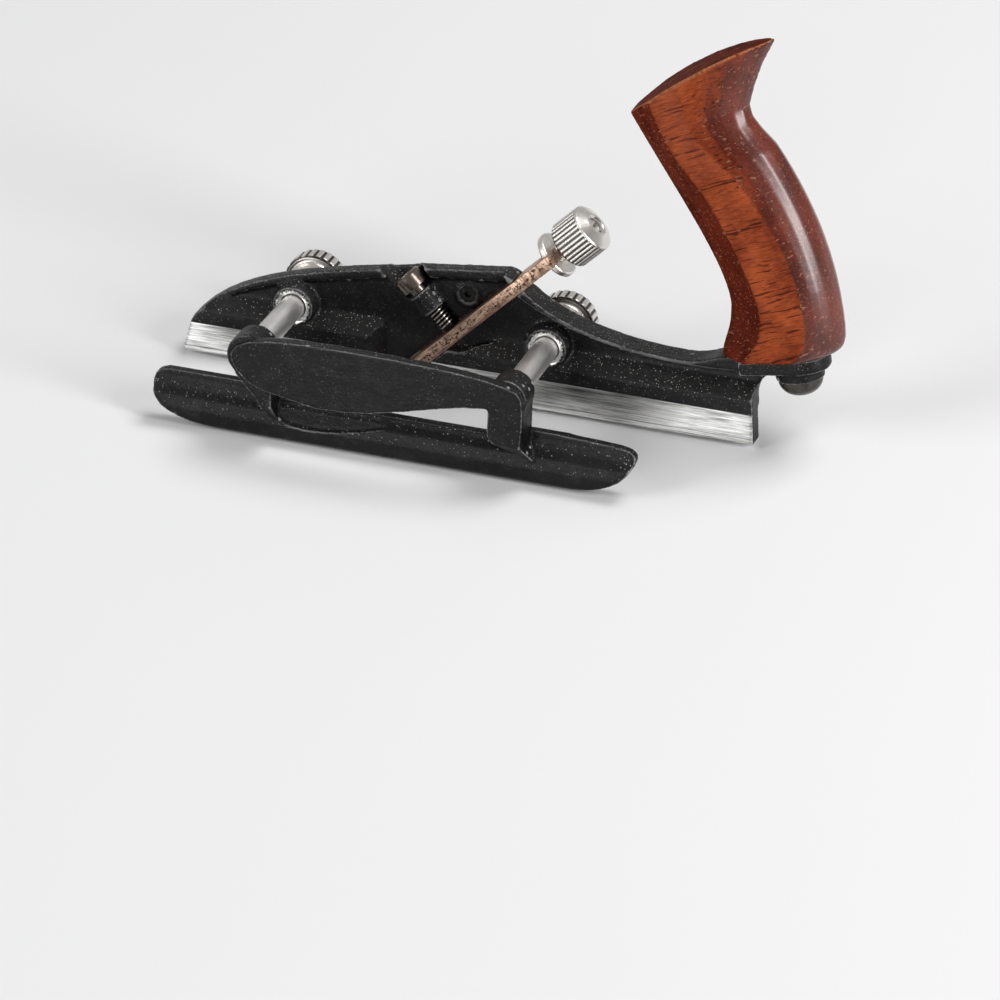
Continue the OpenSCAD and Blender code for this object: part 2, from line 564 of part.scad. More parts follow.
module stop_screw() color(steel) translate([stop_x, 0, lock_z]) difference() {
  union() {
    ycyl(0, 0, lock_r, web_in - 0.1, lock_end + 1);
    ycyl(0, 0, lock_head_r, lock_end, lock_end + 1.6);
  }
  for (i = [0 : 17]) rotate([0, i * 20, 0]) translate([lock_head_r + 0.08, lock_end - 0.1, 0])
    rotate([-90, 0, 0]) cylinder(r = 0.16, h = 2, $fn = 12);
  translate([0, web_in + 0.3, 0]) rotate([90, 0, 0]) cylinder(r = 0.5, h = 2, $fn = 6);
}

rest() body_casting();
rest() fence_casting();
rest() front_rod();
rest() rear_rod();
rest() front_rod_screw();
rest() rear_rod_screw();
rest() front_collet();
rest() rear_collet();
rest() front_nut();
rest() rear_nut();
rest() cutter();
rest() adjuster_screw();
rest() adjuster_knob();
rest() clamp_screw();
rest() handle();
rest() handle_bolt();
rest() handle_insert();
rest() handle_dowel();
rest() depth_stop();
rest() stop_washer();
rest() stop_screw();
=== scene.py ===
# %% [markdown]
# # A small plough plane
# A plough plane cuts a groove along a board. Its cast body stands on a thin steel skate, a fence slides
# on two rods beside it, and a narrow cutter is fed by a knob. The plane lies over on its sole and its
# fence here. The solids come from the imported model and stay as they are: this lesson gives each of them
# its finish, and puts softer castings and a smoother handle in the place of the plain ones.

# %% load the frame
import math

import bpy
from mathutils import Matrix, Vector


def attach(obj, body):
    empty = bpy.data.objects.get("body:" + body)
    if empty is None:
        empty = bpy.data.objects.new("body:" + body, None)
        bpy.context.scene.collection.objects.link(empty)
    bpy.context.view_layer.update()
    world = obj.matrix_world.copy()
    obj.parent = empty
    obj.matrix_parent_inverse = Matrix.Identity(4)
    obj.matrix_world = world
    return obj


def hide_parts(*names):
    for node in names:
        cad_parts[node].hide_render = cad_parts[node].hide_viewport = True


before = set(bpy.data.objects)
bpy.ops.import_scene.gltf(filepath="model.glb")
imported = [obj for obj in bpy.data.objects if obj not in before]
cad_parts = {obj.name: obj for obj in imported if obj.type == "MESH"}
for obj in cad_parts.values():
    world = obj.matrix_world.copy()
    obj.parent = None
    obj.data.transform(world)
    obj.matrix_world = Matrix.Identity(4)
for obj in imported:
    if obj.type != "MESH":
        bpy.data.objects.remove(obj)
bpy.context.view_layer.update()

# %% [markdown]
# ## The plane's own axes
# The plane leans by 13.5 degrees, so a finish that follows it, such as the milled strip, is easier to
# describe in axes that lean with it: x runs from the toe to the heel, y away from the fence and z up from
# the sole, in millimetres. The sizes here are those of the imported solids.

# %% axes of the plane
LEAN = 0.235286
ORIGIN = (-0.043161, -0.000193, 0.000699)
ROD_X = (14.8, 48.5)
ROD_Z = 8.5
lean_cos, lean_sin = math.cos(LEAN), math.sin(LEAN)


def place(x, y, z):
    """A point of the leaning plane, given in its own millimetres, as a point of the scene in metres."""
    across = y * lean_cos + z * lean_sin
    up = z * lean_cos - y * lean_sin
    return (x / 1000 + ORIGIN[0], across / 1000 + ORIGIN[1], up / 1000 + ORIGIN[2])


print("middle of the front rod:", [round(v, 4) for v in place(ROD_X[0], 0, ROD_Z)])

# %% [markdown]
# ## Helpers for objects
# An operator acts on all that is selected, so each piece is made the only one first. A solid from the
# frame is a heap of loose triangles. They are joined up in a copy, because a modifier needs edges that
# two faces share. Points that lie within two thousandths of a millimetre become one.

# %% helpers for objects
MERGE = 2e-6


def only(obj):
    """Leaves nothing but this object selected."""
    if bpy.context.object and bpy.context.object.mode != "OBJECT":
        bpy.ops.object.mode_set(mode="OBJECT")
    bpy.ops.object.select_all(action="DESELECT")
    obj.select_set(True)
    bpy.context.view_layer.objects.active = obj


def open_mesh(obj):
    """Opens this object alone in edit mode, with everything in it selected."""
    only(obj)
    bpy.ops.object.mode_set(mode="EDIT")
    bpy.ops.mesh.select_all(action="SELECT")


def close_mesh():
    """Leaves edit mode, which writes the edits to the mesh."""
    bpy.ops.object.mode_set(mode="OBJECT")


def apply_modifier(obj, kind, **settings):
    """Adds a modifier, sets it up and applies it."""
    only(obj)
    mod = obj.modifiers.new(kind.lower(), kind)
    for key, value in settings.items():
        setattr(mod, key, value)
    bpy.ops.object.modifier_apply(modifier=mod.name)


def merged_copy(node, name):
    """A copy of a solid's mesh with its loose triangles joined up."""
    obj = bpy.data.objects.new(name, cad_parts[node].data.copy())
    bpy.context.scene.collection.objects.link(obj)
    only(obj)
    bpy.ops.mesh.customdata_custom_splitnormals_clear()
    open_mesh(obj)
    bpy.ops.mesh.remove_doubles(threshold=MERGE)
    close_mesh()
    return obj


def dissolve_flats(obj):
    """Makes each flat area one face."""
    open_mesh(obj)
    bpy.ops.mesh.dissolve_limited(angle_limit=math.radians(0.5))
    close_mesh()


def add_piece(obj, node, body, material):
    """Gives a new piece its finish and its body, and hides the solid that it stands for."""
    obj.data.materials.clear()
    obj.data.materials.append(material)
    for polygon in obj.data.polygons:
        polygon.material_index = 0
    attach(obj, body)
    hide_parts(node)
    print(obj.name, len(obj.data.polygons), "faces")


print("helpers for objects ready")

# %% [markdown]
# ## Helpers for materials
# A node tree is long to write by hand, so short functions add the nodes that come back most: sums,
# ranges, noise and blends. Every pattern is measured in millimetres, along the plane's axes or a turned
# piece's own. A Mapping node of the Texture kind does that: it takes a place and a turn out and turns
# metres into millimetres.

# %% helpers for nodes
def feed(tree, node, values):
    """Links each value that is a socket to the input it is named for, and sets any other value there."""
    for key, value in values.items():
        if isinstance(value, bpy.types.NodeSocket):
            tree.links.new(value, node.inputs[key])
        else:
            node.inputs[key].default_value = value


def put(tree, kind, values=None, **settings):
    """Adds a shader node."""
    node = tree.nodes.new(kind)
    for key, value in settings.items():
        setattr(node, key, value)
    feed(tree, node, values or {})
    return node


def calc(tree, operation, a, b=0.0, c=0.0, clamp=False):
    """One Math node."""
    return put(tree, "ShaderNodeMath", {0: a, 1: b, 2: c}, operation=operation, use_clamp=clamp).outputs[0]


def times(tree, a, b):
    """The product of two values."""
    return calc(tree, "MULTIPLY", a, b)


def plus(tree, base, value, share):
    """A base and a share of a value."""
    return calc(tree, "ADD", base, times(tree, value, share))


def weigh(tree, a, share, b, rest):
    """The sum of two values, each with its own share."""
    return calc(tree, "ADD", times(tree, a, share), times(tree, b, rest))


def vector_calc(tree, operation, a, b=(0.0, 0.0, 0.0)):
    """One Vector Math node: its vector and its value."""
    return put(tree, "ShaderNodeVectorMath", {0: a, 1: b}, operation=operation).outputs


def spread(tree, value, low, high, start=0.0, end=1.0):
    """Start where the value is at low or less, end where it is at high or more, and even between them."""
    return put(tree, "ShaderNodeMapRange", {"Value": value, "From Min": low, "From Max": high,
                                            "To Min": start, "To Max": end}).outputs[0]


def step_down(tree, value, edge, soft):
    """1 below the edge and 0 above it, with a soft change of this width to each side."""
    return spread(tree, value, edge - soft, edge + soft, 1.0, 0.0)


def blend(tree, factor, a, b):
    """Mixes two colours."""
    return put(tree, "ShaderNodeMix", {0: factor, 6: a, 7: b}, data_type="RGBA").outputs[2]


def split(tree, vector):
    """The X, Y and Z of a vector."""
    return put(tree, "ShaderNodeSeparateXYZ", {0: vector}).outputs


def noise(tree, vector, scale, detail, rough=0.5, distortion=0.0):
    """Cloudy values round 0.5."""
    return put(tree, "ShaderNodeTexNoise", {"Vector": vector, "Scale": scale, "Detail": detail,
                                            "Roughness": rough, "Distortion": distortion}).outputs[0]


def stretched(tree, vector, x, y, z):
    """Coordinates for a pattern that is drawn out along each axis whose factor is below 1."""
    return put(tree, "ShaderNodeMapping", {"Vector": vector, "Scale": (x, y, z)}).outputs[0]


def tilted(tree, vector, angle):
    """Coordinates for a pattern that is turned about the y axis, which points away from the fence."""
    return put(tree, "ShaderNodeMapping", {"Vector": vector, "Rotation": (0, angle, 0)}).outputs[0]


def relief(tree, height, strength, depth, under=None):
    """The normal of a height, laid over another normal where there is one."""
    node = put(tree, "ShaderNodeBump", {"Height": height, "Strength": strength, "Distance": depth})
    if under is not None:
        feed(tree, node, {"Normal": under})
    return node.outputs[0]


def in_mm(tree, origin, turn):
    """The shaded point in millimetres, from an origin and along turned axes."""
    coords = put(tree, "ShaderNodeTexCoord").outputs["Object"]
    return put(tree, "ShaderNodeMapping", {"Vector": coords, "Location": origin, "Rotation": turn,
                                           "Scale": (0.001, 0.001, 0.001)}, vector_type="TEXTURE").outputs[0]


def plane_mm(tree):
    """The shaded point in the plane's own millimetres."""
    return in_mm(tree, ORIGIN, (-LEAN, 0, 0))


print("helpers for nodes ready")

# %% helpers for materials and shared effects
def start_material(name):
    """An empty material, its tree and its shader."""
    mat = bpy.data.materials.new(name)
    mat.use_nodes = True
    tree = mat.node_tree
    tree.nodes.clear()
    shader = put(tree, "ShaderNodeBsdfPrincipled")
    put(tree, "ShaderNodeOutputMaterial", {"Surface": shader.outputs[0]})
    return mat, tree, shader


def start_group(name, inputs, outputs):
    """A shared effect: a node group with named inputs and outputs."""
    tree = bpy.data.node_groups.new(name, "ShaderNodeTree")
    for label, kind, value in inputs:
        sock = tree.interface.new_socket(label, in_out="INPUT", socket_type="NodeSocket" + kind)
        if value is not None:
            sock.default_value = value
    for label, kind in outputs:
        tree.interface.new_socket(label, in_out="OUTPUT", socket_type="NodeSocket" + kind)
    return tree, put(tree, "NodeGroupInput").outputs, put(tree, "NodeGroupOutput")


def use(tree, group, values):
    """Places a shared effect in a material."""
    return put(tree, "ShaderNodeGroup", values, node_tree=group).outputs


print("helpers for materials ready")

# %% [markdown]
# ## Camera
# The photograph was taken from well above the bench and a little towards the heel, from far away with a
# long lens: rods that run away from us hardly shrink. The place and the turn were fitted to the ends of
# the skate.

# %% camera
camera_data = bpy.data.cameras.new("camera")
camera_data.lens = 187.2
camera_data.sensor_width = 36.0
camera_data.clip_end = 20.0
camera = bpy.data.objects.new("camera", camera_data)
camera.location = (0.172021, -0.489490, 0.403067)
camera.rotation_euler = (0.892098, 0.035053, 0.311410)
bpy.context.scene.collection.objects.link(camera)
bpy.context.scene.camera = camera
bpy.context.scene.view_settings.view_transform = "Standard"
print("camera at", [round(v, 3) for v in camera.location])

# %% [markdown]
# ## Shared effects
# Three effects come back in several finishes, so each is a node group: fine dust that lies on upward
# faces, the orange peel of sprayed paint, and the straight lines that a grinder or a milling cutter
# leaves.

# %% dust
def dust_group():
    """Specks of uneven size, thick in patches, over a thin film. Steep and downward faces stay clean."""
    tree, got, give = start_group("dust", [("Place", "Vector", None), ("Amount", "Float", 0.5)],
                                  [("Mask", "Float")])
    cells = put(tree, "ShaderNodeTexVoronoi", {"Vector": got["Place"], "Scale": 3.6,
                                               "Randomness": 1.0}).outputs
    rolls = put(tree, "ShaderNodeSeparateColor", {"Color": cells["Color"]}).outputs
    size = plus(tree, 0.1, rolls[1], 0.2)
    speck = spread(tree, calc(tree, "SUBTRACT", size, cells["Distance"]), -0.04, 0.04)
    patch = noise(tree, got["Place"], 0.22, 3.0)
    wanted = spread(tree, patch, 0.32, 0.62, 0.12, got["Amount"])
    chosen = calc(tree, "LESS_THAN", rolls[0], wanted)
    up = split(tree, put(tree, "ShaderNodeNewGeometry").outputs["Normal"])["Z"]
    facing = spread(tree, up, 0.08, 0.62)
    film = times(tree, noise(tree, got["Place"], 1.1, 6.0, rough=0.7), 0.07)
    lying = calc(tree, "ADD", times(tree, speck, chosen), times(tree, film, got["Amount"]))
    feed(tree, give, {"Mask": calc(tree, "MULTIPLY", lying, facing, clamp=True)})
    return tree


DUST = dust_group()
print("made the effect", DUST.name)

# %% orange peel and tool lines
def peel_group():
    """Height of sprayed paint: small bumps over a slow wave."""
    tree, got, give = start_group("orange peel", [("Place", "Vector", None), ("Scale", "Float", 2.2)],
                                  [("Height", "Float")])
    bumps = noise(tree, got["Place"], got["Scale"], 2.0, rough=0.45)
    wave = noise(tree, got["Place"], 0.5, 2.0)
    feed(tree, give, {"Height": plus(tree, bumps, wave, 1.6)})
    return tree


def lines_group():
    """Tool lines where the place is stretched, and the wide blotches among them."""
    tree, got, give = start_group("ground lines", [("Place", "Vector", None), ("Fine", "Float", 9.0)],
                                  [("Lines", "Float"), ("Blotch", "Float")])
    thin = noise(tree, got["Place"], got["Fine"], 5.0, rough=0.7)
    wide = noise(tree, got["Place"], 1.7, 3.0)
    feed(tree, give, {"Lines": weigh(tree, thin, 0.65, wide, 0.35), "Blotch": wide})
    return tree


PEEL = peel_group()
LINES = lines_group()
print("shared effects:", [g.name for g in bpy.data.node_groups])

# %% [markdown]
# ## Bare steel on the body
# The skate's side and sole and the faces of the rod bosses are machined after painting, so they are bare
# metal. Masks find them by their place: what lies on the near side under the top of the strip, what lies
# at the sole, and a ragged ring round each rod. The strip has lines along it, and a thin step near the
# sole gets a dark line of painted shade.

# %% bare steel of the milled side, of the sole and of the rings round the rods
STRIP_TOP = 4.16
STRIP_Y = 0.16
SOLE_Z = 0.14
STEP_Z = 0.85
RING_R = 3.05
RING_Y = 0.28
RAGGED = 1.6


def machined(tree, mm):
    """The mask of the bare steel, its colour and the height of its tool lines."""
    xyz = split(tree, mm)
    strip = times(tree, step_down(tree, xyz["Y"], STRIP_Y, 0.04), step_down(tree, xyz["Z"], STRIP_TOP, 0.04))
    steel = calc(tree, "MAXIMUM", strip, step_down(tree, xyz["Z"], SOLE_Z, 0.05))
    chips = noise(tree, mm, 3.0, 5.0, rough=0.75)
    for x in ROD_X:
        dx = calc(tree, "SUBTRACT", xyz["X"], x)
        dz = calc(tree, "SUBTRACT", xyz["Z"], ROD_Z)
        far = calc(tree, "SQRT", calc(tree, "ADD", times(tree, dx, dx), times(tree, dz, dz)))
        uneven = calc(tree, "MULTIPLY_ADD", chips, RAGGED, far)
        ring = times(tree, step_down(tree, uneven, RING_R, 0.05), step_down(tree, xyz["Y"], RING_Y, 0.12))
        steel = calc(tree, "MAXIMUM", steel, ring)
    lines = use(tree, LINES, {"Place": stretched(tree, mm, 0.04, 1.0, 1.0), "Fine": 5.0})["Lines"]
    drift = noise(tree, mm, 0.09, 2.0)
    bright = spread(tree, weigh(tree, lines, 0.75, drift, 0.35), 0.44, 0.60, 0.22, 1.0)
    # A thin dark line of painted shade marks the step near the sole.
    from_step = calc(tree, "ABSOLUTE", calc(tree, "SUBTRACT", xyz["Z"], STEP_Z))
    step_shade = step_down(tree, from_step, 0.06, 0.03)
    bright = times(tree, bright, calc(tree, "SUBTRACT", 1.0, times(tree, step_shade, 0.55)))
    metal = put(tree, "ShaderNodeCombineColor", {0: bright, 1: bright, 2: times(tree, bright, 0.98)})
    return steel, metal.outputs[0], lines


print("milled strip up to", STRIP_TOP, "mm, rings of", RING_R, "mm")

# %% [markdown]
# ## Black paint on the castings
# The castings are sprayed satin black. The paint has a fine orange peel whose tops get a paler painted
# highlight, dust settles on what faces up, and convex edges get a thin grey painted highlight. The body's
# paint also has the masks of bare steel, so one material keeps the casting one piece, as it is.

# %% black paint
PAINT_DEEP = (0.0015, 0.0015, 0.0018, 1)
PAINT_PALE = (0.005, 0.005, 0.0055, 1)
PEEL_HIGHLIGHT = (0.013, 0.013, 0.014, 1)
EDGE_HIGHLIGHT = (0.30, 0.30, 0.31, 1)
DUST_GREY = (0.36, 0.34, 0.32, 1)
STEEL_ROUGH = 0.3


def black_paint(name, bare, dusty):
    """Satin black with orange peel and dust, painted highlights on the peel's tops and on convex edges, and
    bare steel where it was machined.
    """
    mat, tree, shader = start_material(name)
    mm = plane_mm(tree)
    dust = use(tree, DUST, {"Place": mm, "Amount": dusty})["Mask"]
    peel = use(tree, PEEL, {"Place": mm, "Scale": 3.0})["Height"]
    tone = noise(tree, mm, 0.35, 4.0)
    # Convex edges, found by Pointiness, get a painted grey highlight.
    edge = spread(tree, put(tree, "ShaderNodeNewGeometry").outputs["Pointiness"], 0.523, 0.56)
    edge_highlight = calc(tree, "MULTIPLY", edge, times(tree, tone, 1.7), clamp=True)
    black = blend(tree, tone, PAINT_DEEP, PAINT_PALE)
    # The tops of the orange peel get a paler painted highlight.
    black = blend(tree, spread(tree, peel, 1.3, 1.75), black, PEEL_HIGHLIGHT)
    colour = blend(tree, dust, blend(tree, edge_highlight, black, EDGE_HIGHLIGHT), DUST_GREY)
    rough = calc(tree, "MULTIPLY_ADD", tone, 0.16, calc(tree, "MULTIPLY_ADD", dust, 0.4, 0.32))
    if bare:
        steel, metal, cut = machined(tree, mm)
        painted = calc(tree, "SUBTRACT", 1.0, steel)
        colour = blend(tree, steel, colour, metal)
        rough = calc(tree, "MULTIPLY_ADD", rough, painted, times(tree, steel, STEEL_ROUGH))
        peel = times(tree, peel, painted)
        feed(tree, shader, {"Metallic": steel})
    normal = relief(tree, peel, 0.8, 0.0001)
    if bare:
        normal = relief(tree, times(tree, cut, steel), 0.5, 0.00003, under=normal)
    feed(tree, shader, {"Base Color": colour, "Roughness": rough, "Normal": normal,
                        "Specular IOR Level": 0.17})
    return mat


BODY_PAINT = black_paint("black_paint_body", bare=True, dusty=0.9)
FENCE_PAINT = black_paint("black_paint_fence", bare=False, dusty=0.4)
print("paint ready")

# %% [markdown]
# ## Metals
# Each metal is a Principled shader with full Metallic. What tells them apart is colour, roughness and the
# run of the fine lines. The pattern is stretched along the rods, the stop's shoe and the brass insert,
# and it has no direction on the small screws.

# %% plain metals
def finish_metal(tree, shader, colour, rough, lines, strength, depth=0.00002):
    """Sets a metal's colour, its roughness and the relief of its lines."""
    feed(tree, shader, {"Base Color": colour, "Metallic": 1.0, "Roughness": rough,
                        "Normal": relief(tree, lines, strength, depth)})


def metal(name, dark, light, rough, stretch=(1, 1, 1), fine=8.0, bumpy=0.25):
    """Bare metal with lines that change between two colours."""
    mat, tree, shader = start_material(name)
    lines = use(tree, LINES, {"Place": stretched(tree, plane_mm(tree), *stretch), "Fine": fine})
    colour = blend(tree, spread(tree, lines["Lines"], 0.3, 0.7), dark, light)
    finish_metal(tree, shader, colour, plus(tree, rough, lines["Blotch"], 0.14), lines["Lines"], bumpy)
    return mat


ROD_STEEL = metal("rod_steel", (0.70, 0.68, 0.66, 1), (0.88, 0.86, 0.84, 1), rough=0.36,
                  stretch=(1, 0.15, 1), fine=3.0, bumpy=0.05)
DARK_STEEL = metal("black_oxide", (0.045, 0.040, 0.036, 1), (0.10, 0.09, 0.08, 1), rough=0.2,
                   fine=1.5, bumpy=0.08)
LOCK_STEEL = metal("lock_screw_black", (0.012, 0.012, 0.012, 1), (0.04, 0.038, 0.036, 1), rough=0.3,
                   fine=3.0)
STOP_STEEL = metal("stop_steel", (0.40, 0.39, 0.37, 1), (0.62, 0.6, 0.58, 1), rough=0.26,
                   stretch=(0.1, 1, 1))
BRASS = metal("turned_brass", (0.5, 0.34, 0.14, 1), (0.74, 0.55, 0.26, 1), rough=0.25,
              stretch=(1, 1, 0.3))
print("plain metals ready")

# %% [markdown]
# ## Knurled nickel
# The knob and the collet nuts are turned and nickel plated. The flutes are painted dark as shade, and
# that is what makes them stand out. Each turned piece has an axis of its own. The distance from it finds
# the flutes, because they are what lies a little under the outer radius. The knob and the clamp screw
# stand on the cutter's bed, so their axes start from it: there x runs up the cutter and z away from the
# bed.

# %% axes of the turned pieces
BED_X = 29.3
BED_TILT = math.radians(45)
KNOB_AT = (0.02652, 0.0047, 0.0005)
CLAMP_AT = (0.0105, 0.0015, 0.0)
QUARTER = math.radians(90)

BED = (Matrix.Translation(place(BED_X, 0, 0)) @ Matrix.Rotation(-LEAN, 4, "X")
       @ Matrix.Rotation(-BED_TILT, 4, "Y"))
KNOB_AXIS = BED @ Matrix.Translation(KNOB_AT) @ Matrix.Rotation(QUARTER, 4, "Y")
CLAMP_AXIS = BED @ Matrix.Translation(CLAMP_AT)
NUT_AXES = [Matrix.Translation(place(x, 0, ROD_Z)) @ Matrix.Rotation(-LEAN - QUARTER, 4, "X") for x in ROD_X]


def round_axis(tree, axis):
    """The shaded point in an axis's own millimetres, its distance from the axis and its height along it."""
    own = in_mm(tree, tuple(axis.to_translation()), tuple(axis.to_euler()))
    flat = vector_calc(tree, "MULTIPLY", own, (1.0, 1.0, 0.0))[0]
    return own, vector_calc(tree, "LENGTH", flat)["Value"], split(tree, own)["Z"]


print("knob at", [round(v, 4) for v in KNOB_AXIS.to_translation()])

# %% nickel
NICKEL_DARK, NICKEL_PALE = (0.66, 0.62, 0.58, 1), (0.86, 0.83, 0.79, 1)
FLUTE_SHADE = (0.03, 0.025, 0.02, 1)
KNOB_R = 3.2
NUT_R, NUT_Y = 4.0, 4.9


def nickel(name, axis, outer, low, high):
    """Satin nickel with painted shade in the flutes that lie between two heights."""
    mat, tree, shader = start_material(name)
    own, far, height = round_axis(tree, axis)
    fluted = times(tree, calc(tree, "GREATER_THAN", height, low), calc(tree, "LESS_THAN", height, high))
    # The flutes are painted dark as shade.
    flute_shade = times(tree, step_down(tree, far, outer - 0.09, 0.035), fluted)
    flute_shade = times(tree, flute_shade, calc(tree, "GREATER_THAN", far, outer - 0.35))
    lines = use(tree, LINES, {"Place": own, "Fine": 5.0})
    plate = blend(tree, lines["Lines"], NICKEL_DARK, NICKEL_PALE)
    plate = blend(tree, times(tree, flute_shade, 0.95), plate, FLUTE_SHADE)
    finish_metal(tree, shader, plate, plus(tree, 0.22, lines["Blotch"], 0.16), lines["Lines"], 0.06)
    return mat


KNOB_NICKEL = nickel("knob_nickel", KNOB_AXIS, KNOB_R, low=2.5, high=6.85)
NUT_NICKEL = [nickel(name, axis, NUT_R, low=NUT_Y + 2.2, high=NUT_Y + 5.5)
              for name, axis in zip(("front_nut_nickel", "rear_nut_nickel"), NUT_AXES)]
print("nickel ready")

# %% [markdown]
# ## The cutter's steel
# The blade was ground along its length and then tempered, which left a copper tint with dark mottling
# along the middle of its sides. Near the top the grinding runs across. The pattern is turned by the bed's
# angle, so that it follows the blade.

# %% cutter steel
CUTTER_T = 1.6
BLADE_MID = CUTTER_T / 2 - BED_X * math.sin(BED_TILT)
BLADE_DARK, BLADE_PALE = (0.24, 0.14, 0.098, 1), (0.60, 0.42, 0.31, 1)
MOTTLE = (0.06, 0.04, 0.03, 1)
CROSS_FROM, CROSS_TO = 13.5, 16.5


def blade_steel(name):
    """Copper-tinted steel with lines along it, lines across near its top and dark mottling in the middle."""
    mat, tree, shader = start_material(name)
    mm = plane_mm(tree)
    along = tilted(tree, mm, BED_TILT)
    fine = use(tree, LINES, {"Place": stretched(tree, along, 0.06, 1.0, 1.0), "Fine": 7.0})["Lines"]
    cross = use(tree, LINES, {"Place": stretched(tree, along, 1.0, 0.1, 0.1), "Fine": 4.0})["Lines"]
    top = spread(tree, split(tree, mm)["Z"], CROSS_FROM, CROSS_TO)
    lines = weigh(tree, fine, calc(tree, "SUBTRACT", 1.0, top), cross, top)
    steel = blend(tree, spread(tree, lines, 0.42, 0.58), BLADE_DARK, BLADE_PALE)
    cloud = noise(tree, stretched(tree, along, 0.8, 1.0, 1.0), 2.7, 6.0, rough=0.65, distortion=0.4)
    spots = spread(tree, cloud, 0.48, 0.66)
    from_middle = calc(tree, "ABSOLUTE", calc(tree, "SUBTRACT", split(tree, along)["Z"], BLADE_MID))
    band = step_down(tree, from_middle, 0.6, 0.4)
    dark = calc(tree, "MULTIPLY", times(tree, spots, band), 1.6, clamp=True)
    finish_metal(tree, shader, blend(tree, dark, steel, MOTTLE), plus(tree, 0.42, spots, 0.2), lines, 0.4,
                 depth=0.00003)
    return mat


BLADE_STEEL = blade_steel("tinted_blade")
print("cutter steel ready")

# %% [markdown]
# ## Wood of the handle
# The handle is a red-brown wood under varnish. Its grain runs from front to back. On the flat sides the
# pores are short dark dashes. On the front, the back and the top the grain is cut across, so the wood is
# darker and the pores are dots. A pattern stretched along the grain gives both by itself, and the normal
# tells the flats from the rest. Some pores are filled and look pale, few of them on the flats. The rim of
# the top gets a paler painted highlight. The varnish shines on the back and is thin elsewhere.

# %% grain and pores
GRAIN_TILT = math.radians(24)


def grain_pattern(tree, mm):
    """The wood's figure, its fibres, its pores, its cracks and a number from 0 to 1 for each pore."""
    grain = tilted(tree, mm, GRAIN_TILT)
    wobble = put(tree, "ShaderNodeTexNoise", {"Vector": grain, "Scale": 0.2, "Detail": 2.0}).outputs["Color"]
    bent = vector_calc(tree, "ADD", wobble, grain)[0]
    cells = put(tree, "ShaderNodeTexVoronoi", {"Vector": stretched(tree, bent, 0.04, 1.0, 1.0),
                                               "Scale": 4.6, "Randomness": 1.0}).outputs
    rolls = put(tree, "ShaderNodeSeparateColor", {"Color": cells["Color"]}).outputs
    width = plus(tree, 0.03, rolls[0], 0.24)
    pores = spread(tree, calc(tree, "SUBTRACT", width, cells["Distance"]), 0.0, 0.05)
    streaks = noise(tree, stretched(tree, bent, 0.035, 1.0, 1.0), 3.0, 3.0, rough=0.55)
    cracks = spread(tree, streaks, 0.585, 0.63)
    fibres = noise(tree, stretched(tree, bent, 0.12, 1.0, 1.0), 5.0, 6.0, rough=0.75)
    ribbon = noise(tree, stretched(tree, bent, 0.35, 0.5, 0.2), 0.8, 2.0)
    figure = spread(tree, weigh(tree, fibres, 0.6, ribbon, 0.4), 0.40, 0.61)
    return figure, fibres, pores, cracks, rolls[1]


print("the grain leans by", round(math.degrees(GRAIN_TILT)), "degrees")

# %% wood
SIDE_DARK, SIDE_PALE = (0.15, 0.026, 0.010, 1), (0.39, 0.082, 0.026, 1)
END_DARK, END_PALE = (0.055, 0.0080, 0.0042, 1), (0.155, 0.024, 0.010, 1)
RIM_HIGHLIGHT = (0.62, 0.24, 0.11, 1)
PORE_DARK, PORE_FILLED = (0.016, 0.005, 0.003, 1), (0.30, 0.12, 0.07, 1)
ACROSS = (0.0, 0.972, -0.233)


def handle_wood(name):
    """Varnished wood: orange-brown on the flats, darker where the grain is cut across."""
    mat, tree, shader = start_material(name)
    figure, fibres, pores, cracks, roll = grain_pattern(tree, plane_mm(tree))
    form = put(tree, "ShaderNodeNewGeometry").outputs
    faces = split(tree, form["Normal"])
    sideways = calc(tree, "ABSOLUTE", vector_calc(tree, "DOT_PRODUCT", form["Normal"], ACROSS)["Value"])
    flat = spread(tree, sideways, 0.90, 0.985)
    end = blend(tree, figure, END_DARK, END_PALE)
    side = blend(tree, figure, SIDE_DARK, SIDE_PALE)
    wood = blend(tree, flat, end, side)

    # The rim of the top gets a paler painted highlight.
    edge = spread(tree, form["Pointiness"], 0.51, 0.545)
    top = spread(tree, faces["Z"], 0.27, 0.38)
    rim_highlight = times(tree, times(tree, edge, top), step_down(tree, faces["X"], 0.3, 0.1))
    wood = blend(tree, times(tree, rim_highlight, 0.7), wood, RIM_HIGHLIGHT)

    filled = calc(tree, "GREATER_THAN", roll, plus(tree, 0.5, flat, 0.45))
    holes = calc(tree, "MAXIMUM", times(tree, pores, 0.5), times(tree, cracks, 0.75))
    colour = blend(tree, holes, wood, blend(tree, filled, PORE_DARK, PORE_FILLED))
    feed(tree, shader, {"Base Color": colour, "Roughness": plus(tree, 0.3, pores, 0.2),
                        "Coat Weight": spread(tree, faces["X"], 0.15, 0.5, 0.06, 1.0),
                        "Coat Roughness": 0.24, "Specular IOR Level": 0.0,
                        "Normal": relief(tree, calc(tree, "SUBTRACT", fibres, holes), 0.35, 0.00004)})
    return mat


HANDLE_WOOD = handle_wood("varnished_wood")
print("wood ready")

# %% [markdown]
# ## The castings and the handle
# A casting has no sharp edges: paint and sand leave every corner round, inside and out. Rounding them one
# by one on a solid with hundreds of small faces goes wrong, so the whole skin is rebuilt from a fine grid
# and relaxed. The handle's solid is made of flat bands. The real one is shaped with a rasp and sanded, so
# the same rebuild makes its back round and softens the edges of its flats.

